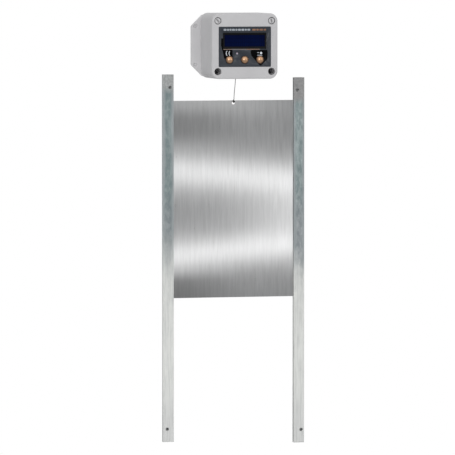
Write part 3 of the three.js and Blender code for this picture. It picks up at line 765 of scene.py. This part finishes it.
def make_world():
    """A white backdrop. What it lights and mirrors is grey at eye level and brighter above."""
    world = bpy.data.worlds.new("studio")
    scene.world = world
    world.use_nodes = True
    tree = world.node_tree
    tree.nodes.clear()
    kinds = ("TexCoord", "SeparateXYZ", "ValToRGB", "Background", "Background", "LightPath", "MixShader")
    made = [tree.nodes.new("ShaderNode" + kind) for kind in (*kinds, "OutputWorld")]
    coordinates, split, ramp, around, backdrop, path, either, output = made
    ramp.color_ramp.interpolation = "EASE"
    steps = ((0, (0.36, 0.365, 0.37)), (0.75, (0.9, 0.9, 0.9)))
    for element, (position, colour) in zip(ramp.color_ramp.elements, steps):
        element.position = position
        element.color = (*colour, 1)
    backdrop.inputs["Color"].default_value = (1, 1, 1, 1)
    for source, target in (
        (coordinates.outputs["Generated"], split.inputs[0]),
        (split.outputs["Z"], ramp.inputs[0]),
        (ramp.outputs[0], around.inputs["Color"]),
        (path.outputs["Is Camera Ray"], either.inputs[0]),
        (around.outputs[0], either.inputs[1]),
        (backdrop.outputs[0], either.inputs[2]),
        (either.outputs[0], output.inputs["Surface"]),
    ):
        tree.links.new(source, target)


def softbox(name, place, aim, size, radiance, only=(), without=()):
    """A soft rectangular light. It lights just the pieces in only, or all but those in without."""
    light = bpy.data.lights.new(name, "AREA")
    light.shape = "RECTANGLE"
    light.size, light.size_y = size
    light.energy = radiance * math.pi * light.size * light.size_y
    lamp = bpy.data.objects.new(name, light)
    scene.collection.objects.link(lamp)
    lamp.location = place
    look_at(lamp, Vector(aim))
    lamp.visible_camera = False
    if only or without:
        receivers = bpy.data.collections.new(name + "_receivers")
        lamp.light_linking.receiver_collection = receivers
        for piece in [*only, *without]:
            receivers.objects.link(piece)
        for receiver in receivers.collection_objects:
            receiver.light_linking.link_state = "INCLUDE" if only else "EXCLUDE"
    return lamp


# ---- Rails and their screws ----

RAIL_WALL = 1.5 * MM


def make_rail(name):
    """A channel that opens towards the door, countersunk for a screw near each end."""
    rail = Span(name)
    side = 1 if rail.middle.x > 0 else -1
    outer = side * max(abs(rail.low.x), abs(rail.high.x))
    inner = side * min(abs(rail.low.x), abs(rail.high.x))
    web = outer - side * RAIL_WALL
    front, back = rail.low.y, rail.high.y
    lip = front + RAIL_WALL
    section = [(outer, back), (inner, back), (inner, back - RAIL_WALL), (web, back - RAIL_WALL)]
    section += [(web, lip), (inner, lip), (inner, front), (outer, front)]
    steps = 12
    heights = [rail.low.z + rail.size.z * k / steps for k in range(steps + 1)]
    channel = piece_from(name + "_channel", loft([[(x, y, z) for x, y in section] for z in heights]))
    cutters = []
    for end in ("top", "bottom"):
        screw = Span(name.replace("rail_", "rail_screw_") + "_" + end)
        head, shank = screw.size.x / 2 + 0.3 * MM, 1.8 * MM
        profile = [(0, back + PAST), (shank, back + PAST), (shank, lip), (head, front)]
        profile += [(head, front - PAST), (0, front - PAST)]
        cutters.append(turned("countersink", profile, *screw.spot))
    carve(channel, *cutters)
    soften(channel, 0.5 * MM)
    return finish_piece(channel, "rail_aluminium", name)


def make_rail_screw(name):
    """A countersunk screw with a crossed recess."""
    screw = Span(name)
    front, radius = screw.low.y, screw.size.x / 2
    crown, corner, edge, head = 0.05 * MM, 0.3 * MM, 0.2 * MM, 1.6 * MM
    shank = 1.5 * MM
    profile = [(0, front + crown), (radius - corner, front), (radius, front + edge)]
    profile += [(shank, front + head), (shank, screw.high.y), (0, screw.high.y)]
    piece = turned(name + "_turned", profile, *screw.spot)
    arm, half, depth = radius * 0.62, 0.35 * MM, 0.9 * MM
    x, z = screw.spot
    bars = []
    for across, up in ((arm, half), (half, arm)):
        low = (x - across, front - depth, z - up)
        high = (x + across, front + depth, z + up)
        bars.append(box_from("bar", low, high))
    carve(piece, *bars)
    return finish_piece(piece, "screw_steel", name, slot="dark_steel")


rails = [make_rail(name) for name in ("rail_left", "rail_right")]
for side in ("left", "right"):
    for end in ("top", "bottom"):
        make_rail_screw(f"rail_screw_{side}_{end}")


# ---- Door ----

def add_sheet_map(piece):
    """A UV map across and up the sheet, which the brushed grain's tangent follows."""
    layer = piece.data.uv_layers.new(name="sheet")
    vertices = piece.data.vertices
    for loop in piece.data.loops:
        point = vertices[loop.vertex_index].co
        layer.data[loop.index].uv = (point.x, point.z)


def make_door():
    sheet = plate("door_sheet", face_of(door, 1.5 * MM), door.high.y, door.low.y)
    carve(sheet, drill(HOLE.x, HOLE.z, HOLE_RADIUS, door.high.y + PAST, door.low.y, 0.15 * MM))
    soften(sheet, 0.18 * MM)
    add_sheet_map(sheet)
    return finish_piece(sheet, "door_aluminium", "door_panel", body="door")


door_sheet = make_door()


# ---- Control box ----

BOX_CORNER = 13 * MM
CORNERS = {"top_left": (-1, 1), "top_right": (1, 1), "bottom_left": (-1, -1), "bottom_right": (1, -1)}
LID_SCREWS = {name: Span("lid_screw_" + name) for name in CORNERS}
BUTTONS = {name: Span("button_" + name) for name in ("left", "middle", "right")}
SCREW_BORE = 5.8 * MM
PILOT = 2.3 * MM
BUTTON_HOLE = 6.3 * MM
FLANGE_FRONT = -4 * MM
label = Span("label_panel")
bezel = Span("display_bezel")
sensor = Span("light_sensor")
GAP = 0.3 * MM  # between the lid and what shows through it


def box_outline(inset):
    """The box seen from the front, its sides moved in by inset."""
    width = lid.size.x - 2 * inset
    height = lid.size.z - 2 * inset
    return round_rectangle(0, lid.middle.z, width, height, BOX_CORNER - inset, steps=16)


def rounded_polygon(points, radius, inset=0.0, steps=6):
    """A convex outline, anticlockwise, with its sides moved in by inset and its corners rounded."""
    count = len(points)
    sides = []
    for i in range(count):
        a, b = Vector(points[i]), Vector(points[(i + 1) % count])
        along = (b - a).normalized()
        inward = Vector((-along.y, along.x))
        sides.append((a + inward * (inset + radius), along, inward))
    rounded = []
    for i in range(count):
        (p, along, inward), (q, next_along, next_inward) = sides[i - 1], sides[i]
        cross = along.x * next_along.y - along.y * next_along.x
        reach = ((q - p).x * next_along.y - (q - p).y * next_along.x) / cross
        centre = p + along * reach
        start = math.atan2(-inward.y, -inward.x)
        turn = math.atan2(cross, along.dot(next_along))
        rounded += [tuple(centre + Vector(point)) for point in arc(radius, start, start + turn, steps)]
    return rounded


def back_panels(middle):
    """Cutters for four shallow panels in the box's back, with a crossed rib between them."""
    width, height, rib = 92 * MM, 84 * MM, 5 * MM
    depth, corner = 0.7 * MM, 4 * MM
    panels = []
    for side, level in CORNERS.values():
        x = side * (width + rib) / 4
        z = middle + level * (height + rib) / 4
        outline = round_rectangle(x, z, (width - rib) / 2, (height - rib) / 2, corner)
        panels.append(plate("panel", lambda inset, points=outline: points, PAST, -depth))
    return panels


def make_flange(middle):
    """The plate against the wall, wider and higher than the box, with its corners cut."""
    half, high, cut = base.size.x / 2, 50 * MM, 18.5 * MM
    top, bottom = middle + high, middle - high
    corners = [(half, bottom + cut), (half, top - cut), (half - cut, top), (cut - half, top)]
    corners += [(-half, top - cut), (-half, bottom + cut), (cut - half, bottom), (half - cut, bottom)]
    corner, edge = 4 * MM, 1.2 * MM

    def outline(inset):
        return rounded_polygon(corners, corner, inset)

    return plate("flange", outline, base.high.y, FLANGE_FRONT, edge)


def flange_holes(middle):
    """Cutters for the flange's holes, which leave a thin film halfway, to be pierced when it's fixed."""
    hole_x, hole_z, radius = base.size.x / 2 - 7 * MM, 31.5 * MM, 2.5 * MM
    film_front, film_back = -2.4 * MM, -2 * MM
    cutters = []
    for side, level in CORNERS.values():
        place = (side * hole_x, middle + level * hole_z)
        cutters.append(drill(*place, radius, film_front, FLANGE_FRONT, 0.8 * MM))
        cutters.append(rod(*place, radius, film_back, PAST))
    return cutters


def cord_outlet():
    """A cutter through the box's floor for the bushing, a little wider below."""
    outlet = bmesh.new()
    bmesh.ops.create_cone(
        outlet, cap_ends=True, segments=40, radius1=5.6 * MM, radius2=5.2 * MM, depth=4 * BOX_WALL
    )
    bmesh.ops.translate(outlet, vec=(0, spool.middle.y, lid.low.z), verts=outlet.verts)
    return piece_from("outlet", outlet)


def make_base():
    """The box's open shell with four screw pillars, on its flange."""
    rim = base.low.y
    middle = lid.middle.z
    pillar, pilot_floor = 7.2 * MM, -38 * MM
    shell = plate("base_shell", box_outline, base.high.y, rim)
    carve(shell, plate("inside", moved_in(box_outline, BOX_WALL), -BOX_WALL, rim - PAST))
    pillars = [rod(*screw.spot, pillar, -PAST, rim) for screw in LID_SCREWS.values()]
    unite(shell, make_flange(middle), *pillars)
    pilots = [drill(*screw.spot, PILOT, pilot_floor, rim) for screw in LID_SCREWS.values()]
    carve(shell, *flange_holes(middle), *back_panels(middle), *pilots)
    carve(shell, cord_outlet())
    shade(shell.data)
    return finish_piece(shell, "grey_plastic", "housing_base")


def face_cutters():
    """Cutters for the display, the buttons and the sensor, through the lid's face."""
    front, back = lid.low.y - PAST, lid.low.y + BOX_WALL + PAST
    low = (bezel.low.x - GAP, front, bezel.low.z - GAP)
    high = (bezel.high.x + GAP, back, bezel.high.z + GAP)
    holes = [drill(*button.spot, BUTTON_HOLE, back, lid.low.y) for button in BUTTONS.values()]
    eye = drill(*sensor.spot, 1.9 * MM, back, lid.low.y, 0.3 * MM, 32)
    return [box_from("window", low, high), *holes, eye]


def make_lid():
    """A deep cover with a rounded front edge, a seat for the label and four bores for its screws."""
    face = lid.low.y
    inside_face, floor = face + PAST, face + 16 * MM
    pillar, edge, seat_corner = 7.5 * MM, 2.8 * MM, 1.5 * MM
    shell = plate("lid_shell", box_outline, lid.high.y, face, edge, steps=10)
    carve(shell, plate("hollow", moved_in(box_outline, BOX_WALL), lid.high.y + PAST, face + BOX_WALL))
    screws = [screw.spot for screw in LID_SCREWS.values()]
    unite(shell, *[rod(*spot, pillar, lid.high.y, inside_face) for spot in screws])
    seat = plate("seat", face_of(label, seat_corner, GAP), face + label.size.y + GAP, face - PAST)
    bores = [drill(*spot, SCREW_BORE, floor, face) for spot in screws]
    shanks = [drill(*spot, PILOT, lid.high.y + PAST, floor) for spot in screws]
    carve(shell, seat, *bores, *shanks, *face_cutters())
    shade(shell.data)
    return finish_piece(shell, "grey_plastic", "lid")


base_shell = make_base()
make_lid()


# ---- Lid screws ----

def make_lid_screw(name):
    """The upper heads are tall grey plastic, the lower ones low dark steel. Both are slotted."""
    screw = LID_SCREWS[name]
    upper = name.startswith("top")
    front, back = screw.low.y, screw.high.y
    radius = screw.size.x / 2 - (0.6 * MM if upper else 0)
    edge, crown = 0.5 * MM, 0.1 * MM
    seat = lid.low.y + 15.7 * MM
    shank, point, tip = 2 * MM, 2 * MM, 0.4 * MM
    profile = [(0, front - crown), (radius - edge, front), (radius - 0.3 * edge, front + 0.3 * edge)]
    profile += [(radius, front + edge), (radius, seat), (shank, seat)]
    profile += [(shank, back - point), (tip, back), (0, back)]
    piece = turned(f"lid_screw_{name}_turned", profile, *screw.spot, sides=64)
    width, depth = (2 * MM, 4 * MM) if upper else (1 * MM, 1.4 * MM)
    length = radius * (1.5 if upper else 3)
    low = (-length / 2, front - PAST, -width / 2)
    slot = box_from("slot", low, (length / 2, front + depth, width / 2))
    lean = math.radians(50 if name.endswith("left") else 75)
    slot.rotation_euler = (0, lean, 0)
    slot.location = (screw.middle.x, 0, screw.middle.z)
    bpy.context.view_layer.update()
    carve(piece, slot)
    return finish_piece(piece, "grey_plastic" if upper else "dark_steel", "lid_screw_" + name)


for name in CORNERS:
    make_lid_screw(name)


# ---- Label, its print and a painted highlight ----

PRINT_RISE = 0.08 * MM


def make_label():
    film = plate("label_film", face_of(label, 1.2 * MM), label.high.y, label.low.y, 0.15 * MM, steps=3)
    carve(film, *face_cutters())
    return finish_piece(film, "label", "label_panel")


def print_on_label(name, outline, ink, holes=()):
    """A thin layer of ink on the label, cut by the holes."""
    sunk = 0.2 * MM
    layer = plate(name, lambda inset: outline, label.low.y + sunk, label.low.y - PRINT_RISE)
    if holes:
        carve(layer, *holes)
    return finish_piece(layer, ink + "_ink", slot="label")


def dashes(name, start, end, height, lengths, ink):
    """A row of rounded dashes near the label's top, from x = start to x = end, in place of a title."""
    z = label.high.z - 4.9 * MM
    space = 0.8 * MM
    usable = end - start - space * (len(lengths) - 1)
    x = start
    for k, share in enumerate(lengths):
        width = usable * share / sum(lengths)
        outline = round_rectangle(x + width / 2, z, width, height, 0.45 * min(width, height), steps=5)
        print_on_label(f"{name}_{k + 1}", outline, ink)
        x += width + space


def arc_mark(name, x, z, radius, thickness, ink):
    """A crescent, open to the right, that thins towards its tips."""
    steps = 12
    spread = math.radians(54)
    thinning = 0.6
    outside, inside = [], []
    for k in range(steps + 1):
        part = 2 * k / steps - 1
        angle = math.pi + spread * part
        thin = radius - thickness * (1 - thinning * part * part)
        outside.append((x + radius * math.cos(angle), z + radius * math.sin(angle)))
        inside.append((x + thin * math.cos(angle), z + thin * math.sin(angle)))
    return print_on_label(name, outside + inside[::-1], ink)


def button_hole(button):
    return drill(*button.spot, BUTTON_HOLE, label.high.y, label.low.y)


def make_left_field():
    """A black field above the left button, with a stem up beside the display."""
    button = BUTTONS["left"]
    overhang, reach, slant, corner = 1.5 * MM, 15.4 * MM, 3 * MM, 1 * MM
    left, right = bezel.low.x - overhang, bezel.low.x + reach
    top, bottom = bezel.low.z - GAP, button.middle.z + 2 * MM
    field = [(left + slant, bottom), (right, bottom), (right, top), (left, top)]
    print_on_label("left_field", rounded_polygon(field, corner), "black", [button_hole(button)])
    stem_top = bezel.low.z + 0.66 * bezel.size.z
    beside = bezel.low.x - 0.1 * MM
    waist, bulge, bend = 1.9 * MM, 2.2 * MM, 6 * MM
    stem = [(left, top - slant), (beside, top - slant), (beside, stem_top)]
    stem += [(left - waist, stem_top), (left - bulge, top + bend)]
    print_on_label("left_stem", rounded_polygon(stem, corner), "black")


def make_right_field():
    """A black shield behind the right button, with its point below."""
    button = BUTTONS["right"]
    x, z = button.spot
    top = bezel.low.z - 2.2 * MM
    right, left, waist, corner = 12.3 * MM, 16.5 * MM, 14.5 * MM, 2.2 * MM
    point, shoulder, knee = 10.5 * MM, 1 * MM, 6.5 * MM
    shield = [(x + 0.5 * MM, z - point), (x + right, z + shoulder), (x + right, top)]
    shield += [(x - left, top), (x - waist, z + knee)]
    print_on_label("right_field", rounded_polygon(shield, corner), "black", [button_hole(button)])


def make_marks():
    """Plain marks above the outer buttons, on their black fields: crescents, a disc and two bars."""
    above, crescent, thickness = 10.6 * MM, 5.4 * MM, 1.15 * MM
    z = BUTTONS["left"].middle.z + above
    for k, x in enumerate((-26.3 * MM, -21.6 * MM)):
        lift_mark(arc_mark(f"crescent_{k + 1}", x, z, crescent, thickness, "bright"))
    x = BUTTONS["right"].middle.x
    disc = 3.6 * MM
    outline = round_rectangle(x + 1.6 * MM, z + 0.2 * MM, disc, disc, disc / 2 - 0.01 * MM)
    lift_mark(print_on_label("disc", outline, "bright"))
    for k, (off, height, width) in enumerate(((-3.2, 0.9, 3.4), (-0.6, -3.4, 8.4))):
        bar = round_rectangle(x + off * MM, z + height * MM, width * MM, 1.3 * MM, 0.6 * MM)
        lift_mark(print_on_label(f"bar_{k + 1}", bar, "white"))


def lift_mark(mark):
    """Raises a mark by one more layer of ink, so that it lies on the field under it."""
    for vertex in mark.data.vertices:
        vertex.co.y -= PRINT_RISE


def make_bezel_highlight():
    """Painted highlight: a thin light line under the display, laid on the label like ink, for the
    bezel's lower edge catching the light.
    """
    middle, length, thickness = -5.3 * MM, 61 * MM, 1.1 * MM
    z = bezel.low.z - GAP - 0.75 * MM
    lift_mark(print_on_label("bezel_highlight", round_rectangle(middle, z, length, thickness, 0.5 * MM), "bezel_highlight"))


make_label()
dashes("title_white", -35.5 * MM, 9 * MM, 3 * MM, (3, 2, 2, 3, 2, 3, 3, 2, 3), "white")
dashes("title_orange", 12 * MM, 35.5 * MM, 2.8 * MM, (3, 2, 3, 2), "orange")
make_left_field()
make_right_field()
make_marks()
make_bezel_highlight()


# ---- Display ----

def make_bezel():
    """A folded sheet frame with a rounded outer edge and a sloping lip round its window."""
    front, back = bezel.low.y, bezel.high.y
    sheet, edge, corner = 1 * MM, 0.35 * MM, 0.6 * MM
    outline = face_of(bezel, 0.5 * MM, steps=4)
    frame_piece = plate("bezel_frame", outline, back, front, edge, steps=4)
    hollow = plate("hollow", moved_in(outline, sheet), back + sheet, front + sheet)
    side, level = 2.5 * MM, 3.2 * MM
    lip = 1.1 * MM
    rings = []
    for grown, y in ((lip, front - 0.1 * MM), (0, front + 0.8 * MM), (0, back)):
        width = bezel.size.x - 2 * (side - grown)
        height = bezel.size.z - 2 * (level - grown)
        points = round_rectangle(*bezel.spot, width, height, corner, steps=4)
        rings.append([(x, y, z) for x, z in points])
    carve(frame_piece, hollow, piece_from("window", loft(rings)))
    shade(frame_piece.data)
    return finish_piece(frame_piece, "black_metal", "display_bezel")


def make_glass():
    """The display's glass: a plate with ground edges, and a thinner second plate behind it."""
    glass = Span("display_glass")
    outline = face_of(glass, 0.6 * MM, steps=4)
    step, overlap, margin = glass.middle.y, 0.1 * MM, 0.8 * MM
    front = plate("glass_front", outline, step, glass.low.y, 0.15 * MM, steps=3)
    unite(front, plate("glass_back", moved_in(outline, margin), glass.high.y, step - overlap))
    shade(front.data)
    return finish_piece(front, "display_window", "display_glass")


make_bezel()
make_glass()


# ---- Buttons and light sensor ----

def make_button(name):
    """A domed cap with a small bead round its foot, a retaining flange and a stub behind it."""
    button = BUTTONS[name]
    radius = 6 * MM
    bead = 0.45 * MM
    foot = lid.low.y - 0.2 * MM
    crown = radius - bead
    rise = foot - bead - button.low.y
    dome_radius = (crown * crown + rise * rise) / (2 * rise)
    dome = arc(dome_radius, 0, math.asin(crown / dome_radius), 14)
    profile = [(across, button.low.y + dome_radius - along) for along, across in dome]
    profile += [(crown + across, foot - along) for along, across in arc(bead, 0, QUARTER, 4)[1:]]
    flange_front = lid.low.y + BOX_WALL + GAP
    flange_back = flange_front + 1.3 * MM
    rim, stub, corner = button.size.x / 2, 2.5 * MM, 0.2 * MM
    profile += [(radius, flange_front), (rim - corner, flange_front), (rim, flange_front + corner)]
    profile += [(rim, flange_back - corner), (rim - corner, flange_back), (stub, flange_back)]
    profile += [(stub, button.high.y - corner), (stub - corner, button.high.y), (0, button.high.y)]
    cap = turned(f"button_{name}_cap", profile, *button.spot, sides=72)
    return finish_piece(cap, "copper", "button_" + name, body="button_" + name)


def make_sensor():
    """A domed lens with a collar behind the lid's face, which reaches back to its board."""
    radius, collar, rise = 1.6 * MM, 2.2 * MM, 1.1 * MM
    dome = arc(1, 0, QUARTER, 8)
    profile = [(radius * across, sensor.low.y + rise * (1 - along)) for along, across in dome]
    front, back = lid.low.y + BOX_WALL + GAP, lid.low.y + BOX_WALL + 1.3 * MM
    profile += [(radius, front), (collar, front), (collar, back), (radius, back)]
    profile += [(radius, sensor.high.y), (0, sensor.high.y)]
    lens = turned("sensor_lens", profile, *sensor.spot, sides=40)
    return finish_piece(lens, "sensor_lens", "light_sensor")


for name in BUTTONS:
    make_button(name)
make_sensor()


# ---- CAD nodes that stay as they are ----

def dress_cad_nodes():
    """Gives each CAD node that still shows its look, and takes the hardness off its edges."""
    for part in frame["record"]["subparts"]:
        node = frame["nodes"][part["node"]]
        if node.hide_render:
            continue
        for place in node.material_slots:
            place.link = "OBJECT"
            place.material = LOOKS[part["material_slot"]]
        round_edges(node, 0.12 * MM)


dress_cad_nodes()


# ---- Floor and light, in place ----

def band_of_light(name, left, right, thickness, radiance):
    """A strip of light close in front of the door, between two (x, z) points, for the sheet alone."""
    ahead = 0.3
    (x0, z0), (x1, z1) = left, right
    size = (math.hypot(x1 - x0, z1 - z0), thickness)
    middle = Vector(((x0 + x1) / 2, door.low.y - ahead, (z0 + z1) / 2))
    strip = softbox(name, middle, middle + Vector((0, 1, 0)), size, radiance, [door_sheet])
    strip.rotation_euler = (QUARTER, math.atan2(z0 - z1, x1 - x0), 0)
    return strip


make_floor()
make_world()
ROOM_LIGHTS = (
    ("key", (-1.3, -3.9, 1.4), (0, 0, 0.45), (2.4, 2.0), 2.7, [], [door_sheet]),
    ("fill", (2.6, -2.6, 1.3), (0, 0, 0.4), (1.8, 1.8), 1.0, [], [door_sheet]),
    ("base_light", (-0.9, -4, 0.8), (0, 0, 0.65), (1.2, 1.2), 3.4, [base_shell], []),
    ("rail_card", (0.3, -1.2, -0.2), (0, 0, 0.05), (1.2, 0.6), 0.66, rails, []),
    ("rail_side", (-0.7, 2.4, 0.35), (0, 0, 0.3), (1.2, 1.2), 0.6, rails, []),
    ("rail_left", (-2.6, -1.6, 0.4), (0, 0, 0.35), (1.6, 1.2), 1.1, rails, []),
)
for name, place, aim, size, radiance, only, without in ROOM_LIGHTS:
    softbox(name, place, aim, size, radiance, only, without)
DOOR_LIGHTS = (
    ("upper_band", (-0.35, 0.460), (0.5, 0.392), 0.035, 1.58),
    ("lower_band", (-0.35, 0.266), (0.5, 0.331), 0.027, 2.1),
    ("right_glow", (0.12, 0.362), (0.6, 0.362), 0.08, 0.75),
    ("top_glow", (-0.5, 0.625), (0.14, 0.542), 0.02, 0.85),
)
for name, left, right, thickness, radiance in DOOR_LIGHTS:
    band_of_light(name, left, right, thickness, radiance)
